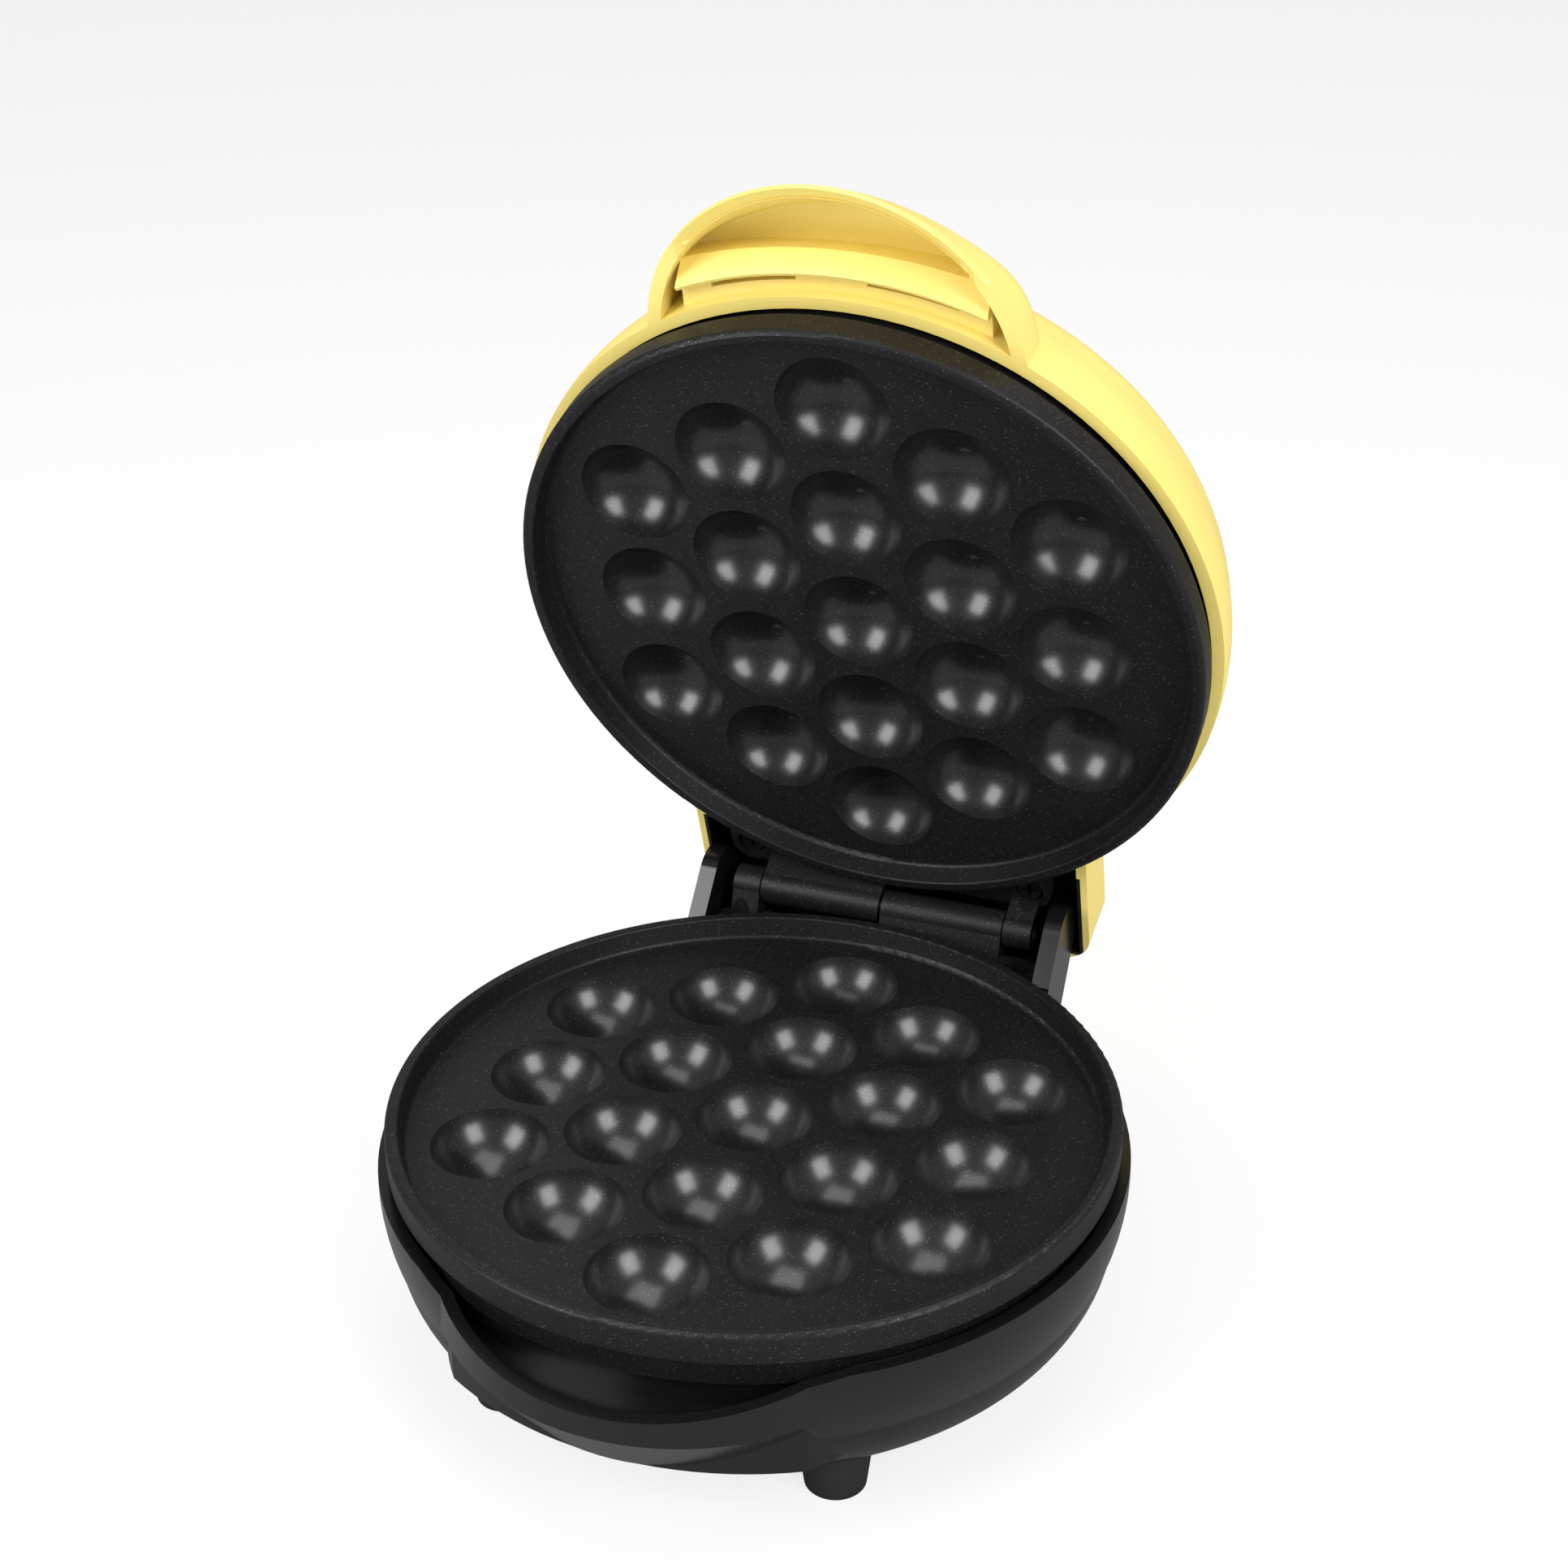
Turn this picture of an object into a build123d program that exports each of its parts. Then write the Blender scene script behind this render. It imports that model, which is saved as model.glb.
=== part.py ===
"""Mini bubble waffle maker: two cast plates with bubble cavities, hinged at the back, in moulded shells."""
from build123d import *
from math import sqrt
import os

os.makedirs("parts", exist_ok=True)

# Driving dimensions in millimetres, drawn about the middle of the base at table height. Each piece is
# shifted forward when saved, so that the origin is on the table under the middle of the open object.
origin_back = 12.3           # from the middle of the base back to that origin
mid_height = 42.0            # height of the plane where the two plates meet
lid_open = 73.0              # lid angle from closed, as the object stands
plate_gap = 0.8              # gap left between the two rims when the lid is down

# cast plates
plate_radius = 63.8
rim_width = 2.3
rim_draft = 0.9              # lean of the wall inside the rim
dish_depth = 4.2             # from the rim down to the dish face
face_thickness = 3.0
side_height = 5.1            # plate side wall that shows above the shell
skirt_radius = 62.0
skirt_wall = 2.2
skirt_depth = 10.6           # from the rim down to the skirt's lower edge
rim_edge_radius = 0.9

# bubble cavities, three four five four three in columns that run front to back
pitch = 23.0
cavity_mouth = 10.3
cavity_depth = 8.0
cavity_wall = 1.8
column_counts = (3, 4, 5, 4, 3)

# hinge cast in one with the plates
hinge_y = 69.2
knuckle_radius = 3.5
short_knuckle = 5.5
long_knuckle = 24.5
knuckle_gap = 0.6
pin_radius = 1.5
running_clearance = 0.05
tab_top = 4.3                # from the middle plane to the tab's outer face
tab_thickness = 4.2
tab_half_width = 32.9
tab_rear = 66.4
ear_radius = 4.0

# screws
tab_screw_x = 28.6
tab_screw_y = 62.3
head_radius = 2.8
head_height = 1.9
head_seat_depth = 2.4
shank_radius = 1.45
screw_clearance = 0.1
tab_screw_length = 11.0
post_x = 33.2
post_y = 11.5
boss_radius = 3.4
post_radius = 5.0
post_floor = 2.4
access_radius = 3.3
plate_screw_length = 10.0
shield_screw_length = 7.0

# moulded shells
shell_radius = 65.4
shell_wall = 2.2
shell_rim = 8.0              # from the middle plane to the shell's edge
shoulder = ((65.1, 15.0), (63.4, 21.5))
base_corner = ((61.0, 28.5), (52.0, 35.0))
lid_corner = ((60.8, 27.6), (52.0, 33.4))
lid_crown = ((27.0, 35.6), 36.2)

# front grip on the base
ledge_radius = 42.3
ledge_front = 71.5
ledge_top = 12.6             # from the middle plane
ledge_height = 4.4
ledge_root = 27.0
ledge_wall = 2.2
recess_half = 37.0           # half the width of the gap in the rim above the ledge
pocket_floor = 15.8
back_wall_radius = 61.2
back_wall = 1.8
back_wall_top = 11.6

# handle on the lid
grip_radius = 33.4
grip_front = 86.3
grip_height = 13.0
grip_wall = 2.4
grip_crown = 7.0             # rounding of the grip's upper edge
grip_tray = ((63.4, 8.4), (64.4, 8.0), (64.8, 10.2), (67.4, 10.6), (67.4, 15.0), (69.2, 15.0), (69.2, 8.4),
             (69.8, 8.0), (70.4, 8.4), (73.6, 12.2))     # radius and height of the tray under the grip
tray_half_width = 27.0
tray_corner = 5.0
slot_half_width = 21.5
slot_tab_half_width = 6.2    # tab that splits the slot

# hinge housings
cheek_inner = 33.6
cheek_outer = 37.0
cheek_radius = 6.5
cheek_front = 57.0
tab_room_front = 54.0
tab_room_height = 10.0
box_half_width = 40.0
box_wall = 2.0
box_rear = 80.0
box_low = 5.0
box_high = 22.0
box_start = 46.0
well_rear = 68.6
seat_clearance = 0.3

# heating parts
heater_radius = 3.2
heater_ring = 25.0
heater_leg_x = 8.0
heater_leg_end = 45.0
heater_bend = 6.0
terminal_radius = 1.2
terminal_length = 8.0
shield_radius = 55.0
shield_sheet = 0.6
shield_rim = 4.0
thermostat_radius = 7.5
fuse_radius = 2.0
fuse_length = 14.0
fuse_y = 13.5
sleeve_radius = 2.4
sleeve_length = 10.0
clamp_width = 5.0
clamp_sheet = 0.7
clamp_eye = 5.4              # outer radius of the eyes round the bosses

# feet and mains entry
foot_x = 30.0
foot_y = 41.0
foot_top_radius = 7.2
foot_bottom_radius = 5.2
foot_peg_radius = 2.4
foot_gap = 0.15
gland_radius = 5.0
gland_bore = 3.2
gland_flange = 6.6
gland_drop = 26.0
gland_pad = 7.4              # radius of the flat pad that the flange seats on
gland_seat_y = 64.6
gland_lip = 3.0
gland_length = 9.0

# pilot light
lens_radius = 2.6
lens_y = -46.0
lamp_radius = 2.0
lamp_length = 4.4
lamp_sleeve_radius = 3.8
lens_length = 7.6

# heights worked out from the middle plane, downwards
rim_z = mid_height - plate_gap / 2
face_z = rim_z - dish_depth
under_z = face_z - face_thickness
boss_end_z = mid_height - 22.0
shield_z = boss_end_z - shield_sheet
post_top_z = shield_z - screw_clearance
floor_z = mid_height - base_corner[1][1]
bump_low_z = face_z - cavity_depth - cavity_wall
heater_z = bump_low_z - heater_radius - screw_clearance
lens_low = mid_height + 28.0
lamp_low = lens_low - lamp_length - 0.2
hinge_axis = Axis((0, hinge_y, mid_height), (1, 0, 0))
flip_axis = Axis((0, 0, mid_height), (0, 1, 0))


def save(part, name):
    """Label a finished piece and write it to its own file."""
    placed = part.moved(Location((0, -origin_back, 0)))
    placed.label = name
    export_step(placed, f"parts/{name}.step")


def opened(part):
    """Turn a piece of the closed lid about the hinge pin to where the lid stands."""
    return part.rotate(hinge_axis, -lid_open)


def flipped(part):
    """Turn a piece of the base half a turn about the line from front to back, which makes the lid's."""
    return part.rotate(flip_axis, 180)


def cavity_centres():
    """Centres of the nineteen cavities."""
    centres = []
    for column, count in enumerate(column_counts):
        x = (column - (len(column_counts) - 1) / 2) * pitch * sqrt(3) / 2
        for row in range(count):
            centres.append((x, (row - (count - 1) / 2) * pitch))
    return centres


def cap_solid(mouth, depth, top_z, spare):
    """A round bowl of a sphere with its open side at top_z and a short neck above."""
    ball = (mouth ** 2 + depth ** 2) / (2 * depth)
    chord_mid = sqrt(ball ** 2 - (mouth / 2) ** 2)
    with BuildPart() as cap:
        with BuildSketch(Plane.XZ):
            with BuildLine():
                ThreePointArc(
                    (0, top_z - depth),
                    (mouth / 2, top_z - depth + ball - chord_mid),
                    (mouth, top_z),
                )
                Polyline((mouth, top_z), (mouth, top_z + spare), (0, top_z + spare), (0, top_z - depth))
            make_face()
        revolve(axis=Axis.Z)
    return cap.part


def knuckle_spans():
    """Start and end along the pin of the lower plate's two knuckles, from left to right."""
    half_gap = knuckle_gap / 2
    outer = half_gap + long_knuckle + half_gap + short_knuckle
    return ((-outer, -outer + short_knuckle), (half_gap, half_gap + long_knuckle))


ball_radius = (cavity_mouth ** 2 + cavity_depth ** 2) / (2 * cavity_depth)
bump_depth = cavity_depth + cavity_wall - face_thickness
bump_mouth = sqrt((ball_radius + cavity_wall) ** 2 - (ball_radius - cavity_depth + face_thickness) ** 2)
cavity_tool = cap_solid(cavity_mouth, cavity_depth, face_z, 1.0)
bump_tool = cap_solid(bump_mouth, bump_depth, under_z, 0.5)
dish_radius = plate_radius - rim_width
post_places = ((-post_x, -post_y), (post_x, -post_y))
tab_screw_places = ((-tab_screw_x, tab_screw_y), (tab_screw_x, tab_screw_y))

# Lower plate: an aluminium casting with a raised rim, a skirt, bubble cavities and its half of the hinge.
with BuildPart() as lower_plate:
    with BuildSketch(Plane.XZ):
        with BuildLine():
            FilletPolyline(
                (0, face_z),
                (dish_radius - rim_draft, face_z),
                (dish_radius, rim_z),
                (plate_radius, rim_z),
                (plate_radius, rim_z - side_height),
                (skirt_radius, rim_z - side_height),
                (skirt_radius, rim_z - skirt_depth),
                (skirt_radius - skirt_wall, rim_z - skirt_depth),
                (skirt_radius - skirt_wall, under_z),
                (0, under_z),
                radius=[0, rim_edge_radius, rim_edge_radius / 2, rim_edge_radius, 0, 0, 0, 0, 0, 0],
                close=True,
            )
        make_face()
    revolve(axis=Axis.Z)
    with Locations(*cavity_centres()):
        add(bump_tool)
    with BuildSketch(Plane.XY.offset(boss_end_z)):
        with Locations(*post_places):
            Circle(boss_radius)
    extrude(until=Until.NEXT)
    # tab behind the rim with a round ear at each screw
    with BuildSketch(Plane.XY.offset(mid_height - tab_top)):
        with Locations((0, (tab_rear + skirt_radius - skirt_wall) / 2 - 4)):
            Rectangle(2 * tab_half_width - 2 * ear_radius, tab_rear - skirt_radius + skirt_wall + 8)
        with Locations(*tab_screw_places):
            Circle(ear_radius + (tab_half_width - tab_screw_x - ear_radius))
        with Locations((0, tab_screw_y - 5)):
            Rectangle(2 * tab_half_width, 10)
        with BuildSketch(mode=Mode.PRIVATE) as inside_skirt:
            Circle(skirt_radius - skirt_wall / 2)
        add(inside_skirt.sketch, mode=Mode.SUBTRACT)
    extrude(amount=-tab_thickness)
    # knuckles, each carried on a web that rises from the tab
    for start, end in knuckle_spans():
        with BuildSketch(Plane.YZ.offset(start)):
            with Locations((hinge_y, mid_height)):
                Circle(knuckle_radius)
            with BuildLine():
                Polyline(
                    (tab_rear - 2.0, mid_height - tab_top - tab_thickness),
                    (tab_rear - 2.0, mid_height - tab_top),
                    (hinge_y - knuckle_radius, mid_height),
                    (hinge_y + knuckle_radius, mid_height),
                    (hinge_y + 1.0, mid_height - tab_top - 0.6),
                    (tab_rear, mid_height - tab_top - tab_thickness),
                    close=True,
                )
            make_face()
        extrude(amount=end - start)
    # the cavities, cut after everything that their bumps join
    with Locations(*cavity_centres()):
        add(cavity_tool, mode=Mode.SUBTRACT)
    # bores for the pin and the screws
    with Locations(Plane.YZ.offset(-tab_half_width)):
        with Locations((hinge_y, mid_height)):
            Cylinder(
                pin_radius + running_clearance,
                2 * tab_half_width,
                align=(Align.CENTER, Align.CENTER, Align.MIN),
                mode=Mode.SUBTRACT,
            )
    with Locations(*[(x, y, mid_height - tab_top) for x, y in tab_screw_places]):
        CounterBoreHole(shank_radius + screw_clearance, head_radius + screw_clearance, head_seat_depth)
    with Locations(*[(x, y, boss_end_z) for x, y in post_places]):
        Cylinder(
            shank_radius + screw_clearance,
            8.0,
            align=(Align.CENTER, Align.CENTER, Align.MIN),
            mode=Mode.SUBTRACT,
        )
save(lower_plate.part, "lower_plate")
save(opened(flipped(lower_plate.part)), "upper_plate")

# Hinge pin: a plain steel rod through all four knuckles.
pin_half_length = knuckle_spans()[1][1] + knuckle_gap / 2 + short_knuckle
with BuildPart() as hinge_pin:
    with BuildSketch(Plane.YZ.offset(-pin_half_length)):
        with Locations((hinge_y, mid_height)):
            Circle(pin_radius)
    extrude(amount=2 * pin_half_length)
    chamfer(hinge_pin.edges().filter_by(GeomType.CIRCLE), 0.3)
save(hinge_pin.part, "hinge_pin")


def screw(length, places, seat_z, up=True):
    """Pan head screws with a cross recess, one solid for each place, driven down from seat_z."""
    side = 1 if up else -1
    with BuildPart() as screws:
        for x, y in places:
            with BuildSketch(Plane.XY.offset(seat_z)):
                with Locations((x, y)):
                    Circle(head_radius)
            extrude(amount=side * head_height)
            with BuildSketch(Plane.XY.offset(seat_z)):
                with Locations((x, y)):
                    Circle(shank_radius)
            extrude(amount=-side * length)
        rims = screws.edges().filter_by(GeomType.CIRCLE).filter_by_position(
            Axis.Z, seat_z + side * head_height - 0.01, seat_z + side * head_height + 0.01
        )
        fillet(rims, 0.7)
        with BuildSketch(Plane.XY.offset(seat_z + side * head_height)):
            with Locations(*places):
                Rectangle(3.0, 0.8)
                Rectangle(0.8, 3.0)
        extrude(amount=-side * 1.2, mode=Mode.SUBTRACT)
    return screws.part


tab_seat_z = mid_height - tab_top - head_seat_depth
base_hinge_screws = screw(tab_screw_length, tab_screw_places, tab_seat_z)
save(base_hinge_screws, "base_hinge_screws")
save(opened(flipped(base_hinge_screws)), "lid_hinge_screws")
post_seat_z = post_top_z - post_floor
base_plate_screws = screw(plate_screw_length, post_places, post_seat_z, up=False)
save(base_plate_screws, "base_plate_screws")
lid_shield_screws = screw(shield_screw_length, post_places, shield_z, up=False)
save(opened(flipped(lid_shield_screws)), "lid_shield_screws")


def bowl_profile(inset, corner, crown, rim_height):
    """Half outline of a shell, from its edge round the shoulder to the axis, as depths below the middle."""
    BR = shell_radius - inset
    ThreePointArc(
        (BR, -rim_height),
        (shoulder[0][0] - inset, -shoulder[0][1]),
        (shoulder[1][0] - inset, -shoulder[1][1]),
    )
    corner_end = (corner[1][0] - inset / 2, -(corner[1][1] - inset))
    ThreePointArc(
        (shoulder[1][0] - inset, -shoulder[1][1]),
        (corner[0][0] - inset, -(corner[0][1] - inset / 3)),
        corner_end,
    )
    if crown is None:
        Line(corner_end, (0, corner_end[1]))
        low = corner_end[1]
    else:
        low = -(crown[1] - inset)
        ThreePointArc(corner_end, (crown[0][0], -(crown[0][1] - inset)), (0, low))
    Line((0, low), (0, -rim_height))
    Line((0, -rim_height), (BR, -rim_height))


def bowl_solid(inset, corner, crown=None, rim_height=shell_rim):
    """The shell's outline as a filled solid, its edge up, drawn below the middle plane."""
    with BuildPart() as bowl:
        with BuildSketch(Plane.XZ.offset(0)) as outline:
            with BuildLine():
                bowl_profile(inset, corner, crown, rim_height)
            make_face()
        revolve(axis=Axis.Z)
    return bowl.part.translate((0, 0, mid_height))


base_outside = bowl_solid(0, base_corner)
base_inside = bowl_solid(shell_wall, base_corner)
ledge_y = ledge_radius - ledge_front

# Room above the front ledge: its lower face sinks in an arc from both corners of the recess.
with BuildPart() as above_ledge:
    with BuildSketch(Plane.XZ.offset(back_wall_radius * 0.7)):
        with BuildLine():
            ThreePointArc(
                (-recess_half, mid_height - shell_rim),
                (0, mid_height - ledge_top),
                (recess_half, mid_height - shell_rim),
            )
            Polyline(
                (recess_half, mid_height - shell_rim),
                (recess_half, mid_height),
                (-recess_half, mid_height),
                (-recess_half, mid_height - shell_rim),
            )
        make_face()
    extrude(amount=ledge_front)
    with BuildSketch(Plane.XY) as behind_rim:
        Circle(back_wall_radius)
    extrude(amount=2 * mid_height, mode=Mode.SUBTRACT)

# Base shell: a glossy moulded bowl with a finger ledge in front and a housing for the hinge behind.
with BuildPart() as base_shell:
    add(base_outside)
    # room for the tab of the plate over the housing
    with BuildSketch(Plane.XY.offset(mid_height - tab_top - tab_thickness - seat_clearance)):
        with Locations((0, well_rear)):
            Rectangle(2 * cheek_inner, 2 * (well_rear - tab_room_front))
    extrude(amount=tab_room_height, mode=Mode.SUBTRACT)
    # front ledge
    with BuildSketch(Plane.XY.offset(mid_height - shell_rim)):
        with Locations((0, ledge_y)):
            Circle(ledge_radius)
    extrude(amount=-(ledge_top + ledge_height - shell_rim))
    with BuildSketch(Plane.XY.offset(mid_height - ledge_top - ledge_height)):
        with Locations((0, ledge_y)):
            Circle(ledge_radius)
    extrude(amount=-(ledge_root - ledge_top - ledge_height), taper=35)
    # housing under the hinge
    with BuildSketch(Plane.YZ.offset(-cheek_outer)):
        with BuildLine():
            Polyline(
                (50.0, mid_height - tab_top - tab_thickness - seat_clearance),
                (well_rear, mid_height - tab_top - tab_thickness - seat_clearance),
                (well_rear, mid_height - 12.0),
                (60.5, mid_height - 23.0),
                (50.0, mid_height - 23.0),
                close=True,
            )
        make_face()
    extrude(amount=2 * cheek_outer)
    # flat pad for the flange of the cord gland
    with BuildSketch(Plane.XZ.offset(-gland_seat_y)):
        with Locations((0, mid_height - gland_drop)):
            Circle(gland_pad)
    extrude(amount=gland_length)
    # cheeks at both ends of the hinge
    for x in (-cheek_outer, cheek_inner):
        with BuildSketch(Plane.YZ.offset(x)):
            with Locations((hinge_y, mid_height)):
                Circle(cheek_radius)
            with BuildLine():
                Polyline(
                    (cheek_front, mid_height - shell_rim - 3.0),
                    (cheek_front, mid_height - 4.0),
                    (hinge_y - 4.6, mid_height + 4.6),
                    (hinge_y + cheek_radius, mid_height),
                    (hinge_y + 4.6, mid_height - 4.6),
                    (well_rear, mid_height - 12.0),
                    close=True,
                )
            make_face()
        extrude(amount=cheek_outer - cheek_inner)
    add(base_inside, mode=Mode.SUBTRACT)
    # back wall and floor of the finger pocket
    with BuildSketch(Plane.XY.offset(mid_height - ledge_root)) as pocket_body:
        with Locations((0, ledge_y)):
            Circle(ledge_radius - ledge_wall / 2)
        with BuildSketch(mode=Mode.PRIVATE) as ring:
            Circle(shell_radius - shell_wall / 2)
            Circle(back_wall_radius - back_wall, mode=Mode.SUBTRACT)
        add(ring.sketch, mode=Mode.INTERSECT)
    extrude(amount=ledge_root - back_wall_top)
    # the pocket itself
    with BuildSketch(Plane.XY.offset(mid_height - pocket_floor)) as pocket:
        with Locations((0, ledge_y)):
            Circle(ledge_radius - ledge_wall)
        with BuildSketch(mode=Mode.PRIVATE) as behind:
            Circle(back_wall_radius)
        add(behind.sketch, mode=Mode.SUBTRACT)
    extrude(amount=pocket_floor, mode=Mode.SUBTRACT)
    add(above_ledge.part, mode=Mode.SUBTRACT)
    # room for the plate's skirt over the hinge housing
    with BuildSketch(Plane.XY.offset(mid_height - skirt_depth - plate_gap / 2 - seat_clearance)):
        Circle(shell_radius - shell_wall)
    extrude(amount=20.0, mode=Mode.SUBTRACT)
    # posts that carry the front of the plate
    with BuildSketch(Plane.XY.offset(floor_z + shell_wall / 2)):
        with Locations(*post_places):
            Circle(post_radius)
    extrude(amount=post_top_z - floor_z - shell_wall / 2)
    with BuildSketch(Plane.XY.offset(floor_z - 1.0)):
        with Locations(*post_places):
            Circle(access_radius)
    extrude(amount=post_seat_z - floor_z + 1.0, mode=Mode.SUBTRACT)
    with BuildSketch(Plane.XY.offset(post_seat_z - 1.0)):
        with Locations(*post_places):
            Circle(shank_radius + screw_clearance)
    extrude(amount=post_floor + 2.0, mode=Mode.SUBTRACT)
    # pilot holes for the hinge screws
    with BuildSketch(Plane.XY.offset(mid_height - tab_top - tab_thickness)):
        with Locations(*tab_screw_places):
            Circle(shank_radius + screw_clearance)
    extrude(amount=-(tab_screw_length - 1.0), mode=Mode.SUBTRACT)
    # holes for the pegs of the feet
    with BuildSketch(Plane.XY.offset(floor_z - 1.0)):
        with GridLocations(2 * foot_x, 2 * foot_y, 2, 2):
            Circle(foot_peg_radius + foot_gap)
    extrude(amount=12.0, mode=Mode.SUBTRACT)
    # mains entry in the rear wall
    with BuildSketch(Plane.XZ.offset(-70.0)):
        with Locations((0, mid_height - gland_drop)):
            Circle(gland_radius + screw_clearance)
    extrude(amount=20.0, mode=Mode.SUBTRACT)
save(base_shell.part, "base_shell")

# Four rubber feet: cones that follow the underside of the bowl, each with a peg through the floor.
foot_outline = bowl_solid(-foot_gap, base_corner)
with BuildPart() as feet:
    with BuildSketch(Plane.XY):
        with GridLocations(2 * foot_x, 2 * foot_y, 2, 2):
            Circle(foot_bottom_radius)
    foot_lean = (foot_top_radius - foot_bottom_radius) / 12.0
    extrude(amount=12.0, taper=-7.0)
    add(foot_outline, mode=Mode.SUBTRACT)
    with BuildSketch(Plane.XY.offset(5.0)):
        with GridLocations(2 * foot_x, 2 * foot_y, 2, 2):
            Circle(foot_peg_radius)
    extrude(amount=6.5)
save(feet.part, "feet")

# Cord gland: a moulded bush with a flange on the outside of the rear wall.
with BuildPart() as cord_gland:
    with BuildSketch(Plane.XZ.offset(-gland_seat_y - screw_clearance)):
        with Locations((0, mid_height - gland_drop)):
            Circle(gland_flange)
    extrude(amount=-gland_lip)
    with BuildSketch(Plane.XZ.offset(-gland_seat_y - screw_clearance)):
        with Locations((0, mid_height - gland_drop)):
            Circle(gland_radius)
    extrude(amount=gland_length)
    with BuildSketch(Plane.XZ.offset(-gland_seat_y - 2 * gland_lip)):
        with Locations((0, mid_height - gland_drop)):
            Circle(gland_bore)
    extrude(amount=gland_length + 4 * gland_lip, mode=Mode.SUBTRACT)
    chamfer(cord_gland.faces().sort_by(Axis.Y)[-1].outer_wire().edges(), 0.8)
save(cord_gland.part, "cord_gland")

# Heating tube: one open ring pressed up under the bumps, with both legs to the rear.
ring_start = (heater_leg_x, sqrt(heater_ring ** 2 - heater_leg_x ** 2))
with BuildPart() as lower_heater:
    with BuildLine(Plane.XY.offset(heater_z)) as tube_path:
        leg_a = Line((heater_leg_x, heater_leg_end), ring_start)
        ring_arc = ThreePointArc(ring_start, (0, -heater_ring), (-ring_start[0], ring_start[1]))
        leg_b = Line((-ring_start[0], ring_start[1]), (-heater_leg_x, heater_leg_end))
        corners = tube_path.vertices().filter_by_position(Axis.Y, ring_start[1] - 1, ring_start[1] + 1)
        fillet(corners, heater_bend)
    with BuildSketch(Plane.XZ.offset(-heater_leg_end)):
        with Locations((heater_leg_x, heater_z)):
            Circle(heater_radius)
    sweep(path=tube_path.wires()[0])
    with BuildSketch(Plane.XZ.offset(-heater_leg_end - terminal_length)):
        with Locations((heater_leg_x, heater_z), (-heater_leg_x, heater_z)):
            Circle(terminal_radius)
    extrude(amount=terminal_length + 2.0)
save(lower_heater.part, "lower_heater")
save(opened(flipped(lower_heater.part)), "upper_heater")

# Sleeves of woven glass over the terminals, where the wires are crimped on.
with BuildPart() as lower_terminal_sleeves:
    with BuildSketch(Plane.XZ.offset(-heater_leg_end - terminal_length + 2 * terminal_radius)):
        with Locations((heater_leg_x, heater_z), (-heater_leg_x, heater_z)):
            Circle(sleeve_radius)
            Circle(terminal_radius + running_clearance, mode=Mode.SUBTRACT)
    extrude(amount=-sleeve_length / 2)
save(lower_terminal_sleeves.part, "lower_terminal_sleeves")
save(opened(flipped(lower_terminal_sleeves.part)), "upper_terminal_sleeves")

# Clamp: a flat steel strap under the heating tube, with an eye round each of the plate's two bosses.
with BuildPart() as lower_heater_clamp:
    with BuildSketch(Plane.XY.offset(shield_z + shield_sheet + screw_clearance)):
        with Locations((0, -post_y)):
            Rectangle(2 * post_x, clamp_width)
        with Locations(*post_places):
            Circle(clamp_eye)
        with Locations(*post_places):
            Circle(boss_radius + screw_clearance, mode=Mode.SUBTRACT)
    extrude(amount=clamp_sheet)
save(lower_heater_clamp.part, "lower_heater_clamp")
save(opened(flipped(lower_heater_clamp.part)), "upper_heater_clamp")

# Heat shield: a pressed tray of bright sheet between the heater and the shell.
with BuildPart() as lower_heat_shield:
    with BuildSketch(Plane.XZ):
        with BuildLine():
            Polyline(
                (0, shield_z),
                (shield_radius, shield_z),
                (shield_radius, shield_z + shield_rim),
                (shield_radius - shield_sheet, shield_z + shield_rim),
                (shield_radius - shield_sheet, shield_z + shield_sheet),
                (0, shield_z + shield_sheet),
                close=True,
            )
        make_face()
    revolve(axis=Axis.Z)
    with BuildSketch(Plane.XY.offset(shield_z)):
        with Locations(*post_places):
            Circle(shank_radius + screw_clearance)
        with Locations((0, -18.0), (0, 18.0)):
            SlotOverall(16.0, 5.0)
    extrude(amount=shield_sheet, mode=Mode.SUBTRACT)
    # notch in the rim for the wires of the heater
    with BuildSketch(Plane.XY.offset(shield_z + 2 * shield_sheet)):
        with Locations((0, shield_radius)):
            Rectangle(4 * heater_leg_x, shield_rim)
    extrude(amount=shield_rim, mode=Mode.SUBTRACT)
save(lower_heat_shield.part, "lower_heat_shield")
save(opened(flipped(lower_heat_shield.part)), "upper_heat_shield")

# Thermostat: a round snap disc switch held between the middle bump and the shield.
with BuildPart() as thermostat:
    with BuildSketch(Plane.XY.offset(shield_z + shield_sheet + 0.2)):
        Circle(thermostat_radius)
    extrude(amount=bump_low_z - shield_z - shield_sheet - 0.5)
    chamfer(thermostat.faces().sort_by(Axis.Z)[-1].edges(), 0.8)
    with BuildSketch(Plane.XY.offset(shield_z + shield_sheet + 1.2)):
        with Locations((-9.5, 0), (9.5, 0)):
            Rectangle(7.0, 4.5)
    extrude(amount=0.8)
save(thermostat.part, "thermostat")

# Thermal fuse: a small sealed cartridge in its sleeve, lying on the shield.
with BuildPart() as thermal_fuse:
    with BuildSketch(Plane.YZ.offset(-fuse_length / 2)):
        with Locations((fuse_y, shield_z + shield_sheet + fuse_radius + screw_clearance)):
            Circle(fuse_radius)
    extrude(amount=fuse_length)
save(thermal_fuse.part, "thermal_fuse")


lid_outside = flipped(bowl_solid(0, lid_corner, lid_crown))
lid_inside = flipped(bowl_solid(shell_wall, lid_corner, lid_crown))
grip_y = grip_radius - grip_front
grip_base_z = mid_height + shell_rim

with BuildPart() as grip_outside:
    with BuildSketch(Plane.XY.offset(grip_base_z)):
        with Locations((0, grip_y)):
            Circle(grip_radius)
    extrude(amount=grip_height)
    fillet(grip_outside.faces().sort_by(Axis.Z)[-1].edges(), grip_crown)

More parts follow.
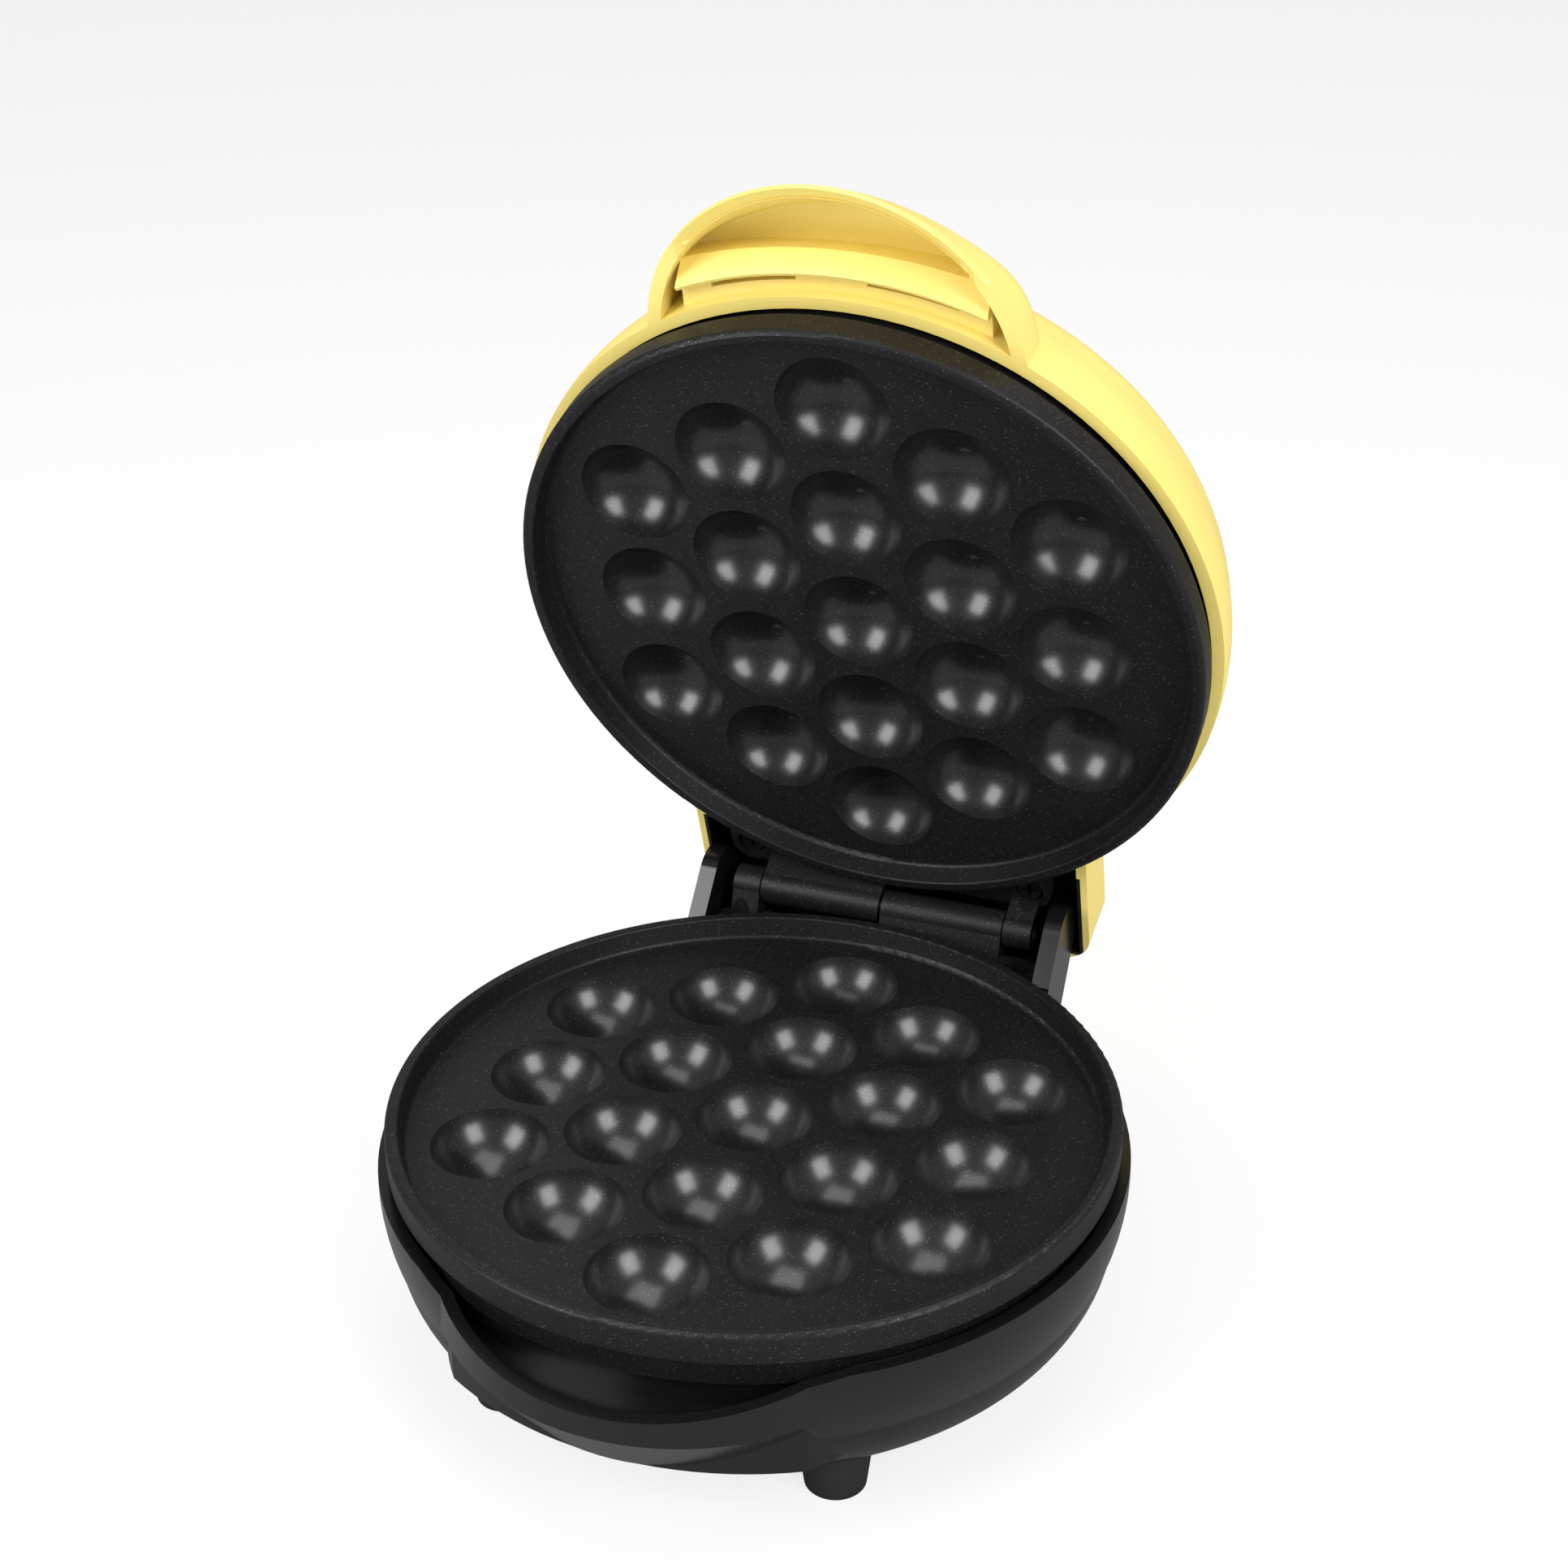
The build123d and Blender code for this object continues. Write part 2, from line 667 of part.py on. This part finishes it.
# Tray between the hollow of the grip and the plate, with a slot that a tab splits in two.
with BuildPart() as tray:
    with BuildSketch(Plane.XZ):
        with BuildLine():
            Polyline(
                *[(r, mid_height + z) for r, z in grip_tray],
                (grip_tray[-1][0], mid_height + shell_rim + grip_height - grip_wall / 2),
                (grip_tray[0][0], mid_height + shell_rim + grip_height - grip_wall / 2),
                close=True,
            )
        make_face()
    revolve(axis=Axis.Z)
    # the slot is filled at both ends and at the tab
    with BuildSketch(Plane.XY.offset(mid_height + grip_tray[3][1])):
        Circle((grip_tray[5][0] + grip_tray[6][0]) / 2 + 0.3)
        Circle(grip_tray[3][0] - 0.3, mode=Mode.SUBTRACT)
        with Locations((slot_tab_half_width + (slot_half_width - slot_tab_half_width) / 2, -shell_radius)):
            Rectangle(slot_half_width - slot_tab_half_width, shell_radius, mode=Mode.SUBTRACT)
        with Locations((-slot_tab_half_width - (slot_half_width - slot_tab_half_width) / 2, -shell_radius)):
            Rectangle(slot_half_width - slot_tab_half_width, shell_radius, mode=Mode.SUBTRACT)
    extrude(amount=grip_height / 2)
    # only the part under the grip is kept, with rounded corners
    with BuildSketch(Plane.XY.offset(mid_height)):
        with Locations((0, -shell_radius)):
            RectangleRounded(2 * tray_half_width, 2 * (grip_tray[-1][0] - 56.0), tray_corner)
    extrude(amount=2 * grip_height, mode=Mode.INTERSECT)

# Lid shell: a moulded dome with a hollow grip in front and a box over the hinge behind.
with BuildPart() as lid_shell:
    add(lid_outside)
    add(grip_outside.part)
    with BuildSketch(Plane.XY.offset(mid_height + box_low)):
        with Locations((0, (box_start + box_rear) / 2)):
            Rectangle(2 * box_half_width, box_rear - box_start)
        with BuildSketch(mode=Mode.PRIVATE) as bowl_plan:
            Circle(shell_radius - 0.5)
        add(bowl_plan.sketch, mode=Mode.SUBTRACT)
    extrude(amount=box_high - box_low)
    rear_edges = lid_shell.edges().filter_by(Axis.Z).filter_by_position(Axis.Y, box_rear - 0.1, box_rear + 0.1)
    fillet(rear_edges, 6.0)
    top_edge = lid_shell.edges().filter_by(Axis.X).filter_by_position(Axis.Y, box_rear - 0.1, box_rear + 0.1)
    chamfer(top_edge.sort_by(Axis.Z)[-1], 5.0)
    add(lid_inside, mode=Mode.SUBTRACT)
    # inside of the hinge box
    with BuildSketch(Plane.XY.offset(mid_height)):
        with Locations((0, (box_start + box_rear - box_wall) / 2)):
            Rectangle(2 * (box_half_width - box_wall), box_rear - box_wall - box_start)
    extrude(amount=box_high - 5.0, mode=Mode.SUBTRACT)
    # hollow of the grip
    with BuildSketch(Plane.XY.offset(grip_base_z)):
        with Locations((0, grip_y)):
            Circle(grip_radius - grip_wall)
        with BuildSketch(mode=Mode.PRIVATE) as shell_plan:
            Circle(shell_radius)
        add(shell_plan.sketch, mode=Mode.SUBTRACT)
    extrude(amount=grip_height - grip_wall, mode=Mode.SUBTRACT)
    add(tray.part)
    # bosses for the hinge screws, hanging from the roof of the box
    with BuildSketch(Plane.XY.offset(mid_height + tab_top + tab_thickness + seat_clearance)):
        with Locations(*tab_screw_places):
            Circle(ear_radius)
    extrude(amount=box_high - 4.0 - tab_top - tab_thickness - seat_clearance)
    with BuildSketch(Plane.XY.offset(mid_height + tab_top + tab_thickness)):
        with Locations(*tab_screw_places):
            Circle(shank_radius + screw_clearance)
    extrude(amount=tab_screw_length - 1.0, mode=Mode.SUBTRACT)
    # hole for the pilot light
    with BuildSketch(Plane.XY.offset(mid_height + 25.0)):
        with Locations((0, lens_y)):
            Circle(lens_radius + screw_clearance)
    extrude(amount=20.0, mode=Mode.SUBTRACT)
save(opened(lid_shell.part), "lid_shell")

# Pilot light: a clear red lens in the lid and the small neon lamp behind it.
with BuildPart() as indicator_lens:
    with BuildSketch(Plane.XY.offset(lens_low)):
        with Locations((0, lens_y)):
            Circle(lens_radius)
    extrude(amount=lens_length)
    chamfer(indicator_lens.faces().sort_by(Axis.Z)[-1].edges(), 0.6)
save(opened(indicator_lens.part), "indicator_lens")
with BuildPart() as indicator_lamp:
    with BuildSketch(Plane.XY.offset(lamp_low)):
        with Locations((0, lens_y)):
            Circle(lamp_radius)
    extrude(amount=lamp_length)
save(opened(indicator_lamp.part), "indicator_lamp")

# Lamp sleeve: a soft bush that holds the lamp on the inner end of the lens.
with BuildPart() as lamp_sleeve:
    with BuildSketch(Plane.XZ):
        with BuildLine():
            Polyline(
                (lamp_radius + running_clearance, lamp_low + 1.0),
                (lamp_sleeve_radius, lamp_low + 1.0),
                (lamp_sleeve_radius, lens_low + 2.5),
                (lens_radius + running_clearance, lens_low + 2.5),
                (lens_radius + running_clearance, lens_low - 0.1),
                (lamp_radius + running_clearance, lens_low - 0.1),
                close=True,
            )
        make_face()
    revolve(axis=Axis.Z)
save(opened(lamp_sleeve.part.translate((0, lens_y, 0))), "lamp_sleeve")
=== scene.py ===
"""Mini bubble waffle maker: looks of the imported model, piece by piece, in the order it is put together."""
import bmesh
import bpy
from math import cos, radians, sin
from mathutils import Matrix, Vector


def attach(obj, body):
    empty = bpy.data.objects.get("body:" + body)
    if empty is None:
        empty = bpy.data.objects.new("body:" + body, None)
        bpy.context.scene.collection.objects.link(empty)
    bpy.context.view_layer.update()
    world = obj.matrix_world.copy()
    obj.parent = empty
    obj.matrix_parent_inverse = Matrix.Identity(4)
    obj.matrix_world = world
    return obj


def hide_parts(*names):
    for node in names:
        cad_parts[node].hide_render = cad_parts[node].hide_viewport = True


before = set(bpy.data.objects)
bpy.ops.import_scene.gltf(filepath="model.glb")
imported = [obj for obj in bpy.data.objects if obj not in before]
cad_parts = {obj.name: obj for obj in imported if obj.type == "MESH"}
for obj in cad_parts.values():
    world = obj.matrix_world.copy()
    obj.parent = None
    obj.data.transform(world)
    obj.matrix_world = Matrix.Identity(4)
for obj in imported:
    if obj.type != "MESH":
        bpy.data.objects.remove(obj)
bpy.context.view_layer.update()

# Camera: stands in front, a little to the right and above, where the photograph was taken.
camera_place = Vector((0.1364, -0.34454, 0.2889))
camera_azimuth = radians(21.39)
camera_elevation = radians(27.40)
camera_roll = radians(-0.65)
back = Vector((
    sin(camera_azimuth) * cos(camera_elevation),
    -cos(camera_azimuth) * cos(camera_elevation),
    sin(camera_elevation),
))
level_right = Vector((cos(camera_azimuth), sin(camera_azimuth), 0))
level_up = back.cross(level_right)
right = cos(camera_roll) * level_right + sin(camera_roll) * level_up
up = cos(camera_roll) * level_up - sin(camera_roll) * level_right
camera = bpy.data.objects.new("camera", bpy.data.cameras.new("camera"))
camera.data.sensor_width = 36.0
camera.data.lens = 57.15
camera.data.clip_start = 0.01
camera_turn = Matrix((right, up, back)).transposed().to_4x4()
camera.matrix_world = Matrix.Translation(camera_place) @ camera_turn
bpy.context.scene.collection.objects.link(camera)
bpy.context.scene.camera = camera
bpy.context.scene.view_settings.view_transform = "Standard"


class Field:
    """A value or colour that varies over a surface. Arithmetic on it adds Math nodes to its material."""

    def __init__(self, socket):
        self.socket = socket

    def node(self, kind, settings=None, inputs=None, output=0):
        """Any other node of the same material, with its settings made before its sockets are filled."""
        tree = self.socket.id_data
        made = tree.nodes.new(kind)
        for name, value in (settings or {}).items():
            setattr(made, name, value)
        for name, value in (inputs or {}).items():
            if isinstance(value, Field):
                tree.links.new(value.socket, made.inputs[name])
            else:
                made.inputs[name].default_value = value
        return Field(made.outputs[output])

    def maths(self, operation, *values):
        return self.node("ShaderNodeMath", {"operation": operation}, dict(enumerate(values)))

    def __add__(self, other):
        return self.maths("ADD", self, other)

    def __radd__(self, other):
        return self.maths("ADD", other, self)

    def __sub__(self, other):
        return self.maths("SUBTRACT", self, other)

    def __rsub__(self, other):
        return self.maths("SUBTRACT", other, self)

    def __mul__(self, other):
        return self.maths("MULTIPLY", self, other)

    def __rmul__(self, other):
        return self.maths("MULTIPLY", other, self)

    def __abs__(self):
        return self.maths("ABSOLUTE", self)

    def __lt__(self, other):
        return self.maths("LESS_THAN", self, other)

    def __gt__(self, other):
        return self.maths("GREATER_THAN", self, other)

    def noise(self, scale, detail=2.0, roughness=0.5):
        """A cloudy pattern read at these coordinates."""
        return self.node(
            "ShaderNodeTexNoise", {},
            {"Vector": self, "Scale": scale, "Detail": detail, "Roughness": roughness},
        )

    def stretched(self, scale):
        """These coordinates scaled along each axis, so that a pattern read at them is drawn out."""
        return self.node("ShaderNodeMapping", {}, {"Vector": self, "Scale": scale})

    def between(self, low, high, to_low=0.0, to_high=1.0):
        """This value read from low to high and set between two others, smoothly."""
        return self.node(
            "ShaderNodeMapRange",
            {"interpolation_type": "SMOOTHSTEP"},
            {"Value": self, "From Min": low, "From Max": high, "To Min": to_low, "To Max": to_high},
        )

    def mix(self, first, second):
        """This value as the share of the second colour over the first."""
        return self.node(
            "ShaderNodeMix", {"data_type": "RGBA"}, {"Factor": self, 6: first, 7: second}, output=2
        )

    def along(self, direction):
        """How far these coordinates lie along a direction."""
        return self.node(
            "ShaderNodeVectorMath", {"operation": "DOT_PRODUCT"}, {0: self, 1: direction}, output="Value"
        )


def finish(name, constants):
    """A new material with its constant sockets set, and the coordinates that its patterns read."""
    material = bpy.data.materials.new(name)
    material.use_nodes = True
    shader = material.node_tree.nodes["Principled BSDF"]
    for socket, value in constants.items():
        shader.inputs[socket].default_value = value
    coordinates = material.node_tree.nodes.new("ShaderNodeTexCoord")
    return material, Field(coordinates.outputs["Object"])


def feed(material, **fields):
    """Link varying fields to the shader. A height is given with its strength and distance."""
    tree = material.node_tree
    shader = tree.nodes["Principled BSDF"]
    names = {
        "colour": "Base Color", "roughness": "Roughness", "metal": "Metallic", "coat": "Coat Weight"
    }
    for key, field in fields.items():
        if key == "height":
            pattern, strength, distance = field
            bump = pattern.node(
                "ShaderNodeBump", {}, {"Height": pattern, "Strength": strength, "Distance": distance}
            )
            tree.links.new(bump.socket, shader.inputs["Normal"])
        else:
            tree.links.new(field.socket, shader.inputs[names[key]])


def dress(material, *nodes):
    """Give CAD pieces their finish."""
    for node in nodes:
        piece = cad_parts[node]
        piece.data.materials.clear()
        piece.data.materials.append(material)


def place_mesh(name, mesh, material):
    """An object made of a finished mesh, standing where the mesh was drawn."""
    data = bpy.data.meshes.new(name)
    mesh.to_mesh(data)
    data.materials.append(material)
    made = bpy.data.objects.new(name, data)
    bpy.context.scene.collection.objects.link(made)
    return made


# Stage: a pale table top that runs back out of sight. It looks white to the camera and grey in
# reflections, so that the black plastic stays dark.
floor_half_width = 4.0
floor_glow_share = 0.80
floor_finish = bpy.data.materials.new("floor_white")
floor_finish.use_nodes = True
floor_tree = floor_finish.node_tree
floor_tree.nodes.clear()
floor_output = floor_tree.nodes.new("ShaderNodeOutputMaterial")
floor_rays = floor_tree.nodes.new("ShaderNodeLightPath")
seen = Field(floor_rays.outputs["Is Camera Ray"])
mirrored = Field(floor_rays.outputs["Is Glossy Ray"])
floor_colour = mirrored.mix((0.9, 0.9, 0.9, 1), (0.30, 0.30, 0.31, 1))
floor_diffuse = seen.node("ShaderNodeBsdfDiffuse", {}, {"Color": floor_colour})
floor_glow = seen.node("ShaderNodeEmission", {}, {"Color": (1, 1, 1, 1), "Strength": 1.0})
floor_mixed = seen.node(
    "ShaderNodeMixShader", {}, {0: seen * floor_glow_share, 1: floor_diffuse, 2: floor_glow}
)
floor_tree.links.new(floor_mixed.socket, floor_output.inputs["Surface"])
floor_mesh = bmesh.new()
bmesh.ops.create_grid(floor_mesh, x_segments=1, y_segments=1, size=floor_half_width)
floor = place_mesh("floor", floor_mesh, floor_finish)

# Room: even white light from all around, with a pure white backdrop for the camera alone.
room_light = 0.34
world = bpy.data.worlds.new("studio")
bpy.context.scene.world = world
world.use_nodes = True
world_background = world.node_tree.nodes["Background"]
world_background.inputs["Color"].default_value = (1, 1, 1, 1)
world_rays = Field(world.node_tree.nodes.new("ShaderNodeLightPath").outputs["Is Camera Ray"])
world_strength = room_light + (1 - room_light) * world_rays
world.node_tree.links.new(world_strength.socket, world_background.inputs["Strength"])


def softbox(name, place, aim, width, height, power):
    """A studio softbox: a rectangle of light turned to face a point on the object."""
    lamp = bpy.data.lights.new(name, "AREA")
    lamp.shape = "RECTANGLE"
    lamp.size = width
    lamp.size_y = height
    lamp.energy = power
    box = bpy.data.objects.new(name, lamp)
    box.location = place
    box.rotation_mode = "QUATERNION"
    box.rotation_quaternion = (Vector(aim) - Vector(place)).to_track_quat("-Z", "Y")
    bpy.context.scene.collection.objects.link(box)


# Softboxes: one on each side of the camera, which make the two bright patches in every cavity of
# the upper plate, and one overhead.
softbox("softbox_left", (-0.46, -0.62, 0.56), (0, 0.03, 0.09), 0.45, 0.55, 6.0)
softbox("softbox_right", (0.68, -0.38, 0.56), (0, 0.03, 0.09), 0.45, 0.55, 6.0)
softbox("softbox_top", (0.0, 0.15, 1.0), (0, 0, 0.05), 0.8, 0.8, 5.0)

# Cooking plates: cast aluminium with a charcoal non-stick coating, full of fine bright specks. The
# coating is smoother inside the cavities, and duller on the flat between them.
hinge_place = Vector((0, 0.0569, 0.042))
lid_angle = radians(73.0)
lid_down = Vector((0, -sin(lid_angle), -cos(lid_angle)))      # out of the upper plate's face
face_depth = 0.0046                                           # from the middle plane to the dish
smooth_from, smooth_to = 0.0006, 0.0026                       # depth below the dish


def coating(name, outward, face_level):
    """The coating of one plate, which faces outward with its dish at face_level in that direction."""
    material, place = finish(name, {"IOR": 1.34, "Coat Roughness": 0.24, "Coat IOR": 1.5})
    height = place.along(outward)
    inside = height.between(face_level - smooth_to, face_level - smooth_from, 1.0, 0.0)
    cells = place.node(
        "ShaderNodeTexVoronoi", {"feature": "F1"}, {"Vector": place, "Scale": 5200.0}, output="Color"
    )
    lot = cells.node("ShaderNodeSeparateColor", {}, {"Color": cells}, output="Red")
    speck = lot.between(0.965, 0.999)
    cloud = place.noise(90.0, 3.0)
    grain = place.noise(3800.0, 3.0, 0.6)
    dark = cloud.mix((0.0065, 0.0060, 0.0066, 1), (0.0105, 0.0100, 0.0112, 1))
    feed(
        material,
        colour=(speck * 0.5).mix(dark, (0.16, 0.17, 0.20, 1)),
        metal=speck * 0.5,
        roughness=inside.between(0.0, 1.0, 0.44, 0.30) + (cloud - 0.5) * 0.08,
        coat=inside * 0.8,
        height=(grain, 0.22, 0.00008),
    )
    return material


lower_coating = coating("coating_lower", (0, 0, 1), hinge_place.z - face_depth)
upper_coating = coating("coating_upper", tuple(lid_down), hinge_place.dot(lid_down) - face_depth)
dress(lower_coating, "lower_plate")
dress(upper_coating, "upper_plate")

# Base bowl: black plastic moulded with a polished skin, so the studio shows in it softly.
black_gloss, place = finish("black_gloss", {"IOR": 1.49})
feed(
    black_gloss,
    colour=place.noise(25.0, 3.0).mix((0.0045, 0.0045, 0.0048, 1), (0.0070, 0.0070, 0.0075, 1)),
    roughness=0.16 + 0.08 * place.noise(60.0, 3.0),
    height=(place.noise(160.0, 2.0), 0.05, 0.0004),
)
dress(black_gloss, "base_shell")

# Lid: yellow plastic moulded with a satin skin and a fine even grain, screwed to the upper plate's
# tabs. Inside the box over the hinge, shade is painted on as near black, up to these distances from
# the hinge's axis.
box_inside_half = 0.0387
box_inside_front = -0.012
box_inside_rear = 0.0095
box_inside_roof = 0.0177
lid_rear = Vector((0, cos(lid_angle), -sin(lid_angle)))       # backward along the lid, from the hinge
lid_up = -lid_down
yellow_satin, place = finish("yellow_satin", {"IOR": 1.46})
behind_hinge = place.along(tuple(lid_rear)) - hinge_place.dot(lid_rear)
above_hinge = place.along(tuple(lid_up)) - hinge_place.dot(lid_up)
# Painted shade: the yellow inside the box over the hinge is coloured near black, where shade falls.
painted_box_shade = (
    (abs(place.along((1, 0, 0))) < box_inside_half)
    * (behind_hinge > box_inside_front)
    * (behind_hinge < box_inside_rear)
    * (above_hinge < box_inside_roof)
)
yellow = place.noise(30.0, 3.0).mix((0.86, 0.69, 0.185, 1), (0.89, 0.72, 0.205, 1))
feed(
    yellow_satin,
    # The yellow turns to painted shade, near black, inside the box over the hinge.
    colour=painted_box_shade.mix(yellow, (0.006, 0.006, 0.0065, 1)),
    roughness=0.40 + 0.08 * place.noise(120.0, 3.0),
    height=(place.noise(2600.0, 2.0), 0.10, 0.00006),
)
dress(yellow_satin, "lid_shell")

# Lid cover: the same moulding with its handle as photographed. The handle's roof slopes down towards
# its front, and its open edge ends in a rounded bead. It is shaped with the lid down and turned back.
bead_level = hinge_place.z + 0.008
bead_level_margin = 0.0002
bead_behind = -0.083
bead_rounding = 0.0009
bead_edge_angle = 0.8
roof_slope = 0.68
slope_start = -0.0723
slope_run = 0.026
crisp_angle = 0.45
merge_distance = 1e-6

to_hinge = Matrix.Translation(hinge_place)
close_lid = to_hinge @ Matrix.Rotation(lid_angle, 4, "X") @ to_hinge.inverted()
lid_mesh = bmesh.new()
lid_mesh.from_mesh(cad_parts["lid_shell"].data)
bmesh.ops.remove_doubles(lid_mesh, verts=lid_mesh.verts, dist=merge_distance)
lid_mesh.transform(close_lid)
bead_edges = [
    edge for edge in lid_mesh.edges
    if all(abs(v.co.z - bead_level) < bead_level_margin and v.co.y < bead_behind for v in edge.verts)
    and len(edge.link_faces) == 2 and edge.calc_face_angle() > bead_edge_angle
]
bmesh.ops.bevel(
    lid_mesh, geom=bead_edges, offset=bead_rounding, segments=3, profile=0.5,
    affect="EDGES", clamp_overlap=True, material=-1,
)
for vertex in lid_mesh.verts:
    rise = vertex.co.z - bead_level
    share = min(1.0, max(0.0, (slope_start - vertex.co.y) / slope_run))
    if rise > 0:
        vertex.co.y += roof_slope * rise * share * share * (3 - 2 * share)
lid_mesh.transform(close_lid.inverted())
for face in lid_mesh.faces:
    face.smooth = True
for edge in lid_mesh.edges:
    edge.smooth = len(edge.link_faces) == 2 and edge.calc_face_angle() < crisp_angle
lid_cover = place_mesh("lid_cover", lid_mesh, yellow_satin)
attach(lid_cover, "lid")
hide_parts("lid_shell")

# Hinge apron: the black wall of the base that curves up behind the knuckles, moulded between the two
# cheeks. It is swept round the hinge's axis, from just under it to the rear.
apron_half = 0.0338
apron_inner = 0.0076
apron_outer = 0.0086
apron_start = radians(-97)
apron_sweep = radians(72)

apron_mesh = bmesh.new()
corners = [
    apron_mesh.verts.new((x, hinge_place.y + r * cos(apron_start), hinge_place.z + r * sin(apron_start)))
    for x, r in (
        (-apron_half, apron_inner), (apron_half, apron_inner),
        (apron_half, apron_outer), (-apron_half, apron_outer),
    )
]
first_face = apron_mesh.faces.new(corners)
bmesh.ops.spin(
    apron_mesh, geom=[first_face], cent=hinge_place, axis=(1, 0, 0), angle=apron_sweep,
    steps=14, use_merge=False,
)
bmesh.ops.remove_doubles(apron_mesh, verts=apron_mesh.verts, dist=merge_distance)
bmesh.ops.recalc_face_normals(apron_mesh, faces=apron_mesh.faces)
hinge_apron = place_mesh("hinge_apron", apron_mesh, black_gloss)
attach(hinge_apron, "base")

# Feet and cord gland: black rubber with a dull, slightly dusty skin, plugged into the base.
rubber, place = finish("black_rubber", {"IOR": 1.45})
feed(
    rubber,
    colour=place.noise(180.0, 4.0).mix((0.010, 0.010, 0.010, 1), (0.020, 0.020, 0.021, 1)),
    roughness=0.55 + 0.18 * place.noise(300.0, 3.0),
    height=(place.noise(2200.0, 3.0), 0.25, 0.0001),
)
dress(rubber, "feet", "cord_gland")

# Lamp bush: soft grey silicone that holds the pilot lamp in the lid.
silicone, place = finish("grey_silicone", {"IOR": 1.42})
feed(
    silicone,
    colour=place.noise(200.0, 3.0).mix((0.40, 0.40, 0.38, 1), (0.48, 0.48, 0.45, 1)),
    roughness=0.5 + 0.1 * place.noise(400.0),
)
dress(silicone, "lamp_sleeve")

# Hinge screws: steel blackened with an oil finish, worn a little on the edges of the cross.
blackened, place = finish("blackened_steel", {"IOR": 1.5})
wear = place.noise(900.0, 4.0).between(0.60, 0.74)
feed(
    blackened,
    colour=wear.mix((0.016, 0.016, 0.017, 1), (0.10, 0.10, 0.105, 1)),
    metal=0.55 + 0.4 * wear,
    roughness=0.34 + 0.12 * place.noise(700.0, 3.0),
)
dress(blackened, "base_hinge_screws", "lid_hinge_screws")

# Pin, inner screws and clamps: bare steel, drawn or pressed.
steel, place = finish("drawn_steel", {"IOR": 2.5, "Metallic": 1.0})
streak = place.stretched((0.06, 1, 1)).noise(2400.0, 3.0)
feed(
    steel,
    colour=streak.mix((0.42, 0.41, 0.40, 1), (0.62, 0.61, 0.60, 1)),
    roughness=0.24 + 0.16 * streak,
)
dress(
    steel, "hinge_pin", "base_plate_screws", "lid_shield_screws", "lower_heater_clamp", "upper_heater_clamp"
)

# Heating tubes: bare steel, browned by heat.
tube_steel, place = finish("browned_steel", {"IOR": 2.5, "Metallic": 1.0})
heat = place.noise(70.0, 3.0)
feed(
    tube_steel,
    colour=heat.mix((0.22, 0.17, 0.12, 1), (0.42, 0.38, 0.33, 1)),
    roughness=0.32 + 0.2 * heat,
)
dress(tube_steel, "lower_heater", "upper_heater")

# Heat shields: thin bright sheet with soft rolling marks.
sheet_metal, place = finish("bright_sheet", {"IOR": 1.9, "Metallic": 1.0})
rolled = place.stretched((1, 0.05, 0.05)).noise(900.0, 2.0)
feed(
    sheet_metal,
    colour=rolled.mix((0.68, 0.69, 0.70, 1), (0.80, 0.80, 0.81, 1)),
    roughness=0.2 + 0.2 * rolled,
)
dress(sheet_metal, "lower_heat_shield", "upper_heat_shield")

# Thermostat: pale fired ceramic.
ceramic, place = finish("ceramic", {"IOR": 1.5})
feed(
    ceramic,
    colour=place.noise(400.0, 4.0).mix((0.55, 0.50, 0.40, 1), (0.66, 0.62, 0.52, 1)),
    roughness=0.55 + 0.2 * place.noise(500.0),
)
dress(ceramic, "thermostat")

# Fuse and terminal sleeves: braided from glass yarn and slipped over the metal.
braid, place = finish("glass_braid", {"IOR": 1.45})
weave = place.node(
    "ShaderNodeTexWave", {"wave_type": "BANDS", "bands_direction": "DIAGONAL"},
    {"Vector": place, "Scale": 420.0, "Distortion": 1.2}, output="Fac",
)
feed(
    braid,
    colour=weave.mix((0.60, 0.57, 0.48, 1), (0.80, 0.78, 0.70, 1)),
    roughness=0.6 + 0.2 * weave,
    height=(weave, 0.5, 0.0002),
)
dress(braid, "thermal_fuse", "lower_terminal_sleeves", "upper_terminal_sleeves")

# Pilot light: a clear red lens pressed into the top of the lid, with a small neon lamp behind it.
red_clear, place = finish("red_lens", {"IOR": 1.5, "Transmission Weight": 0.35})
feed(
    red_clear,
    colour=place.noise(300.0).mix((0.50, 0.010, 0.006, 1), (0.62, 0.022, 0.012, 1)),
    roughness=0.08 + 0.06 * place.noise(500.0),
)
dress(red_clear, "indicator_lens")
neon, place = finish("lamp_glass", {"IOR": 1.5, "Transmission Weight": 0.6})
feed(
    neon,
    colour=place.noise(300.0).mix((0.85, 0.55, 0.35, 1), (0.95, 0.70, 0.50, 1)),
    roughness=0.1 + 0.05 * place.noise(900.0),
)
dress(neon, "indicator_lamp")
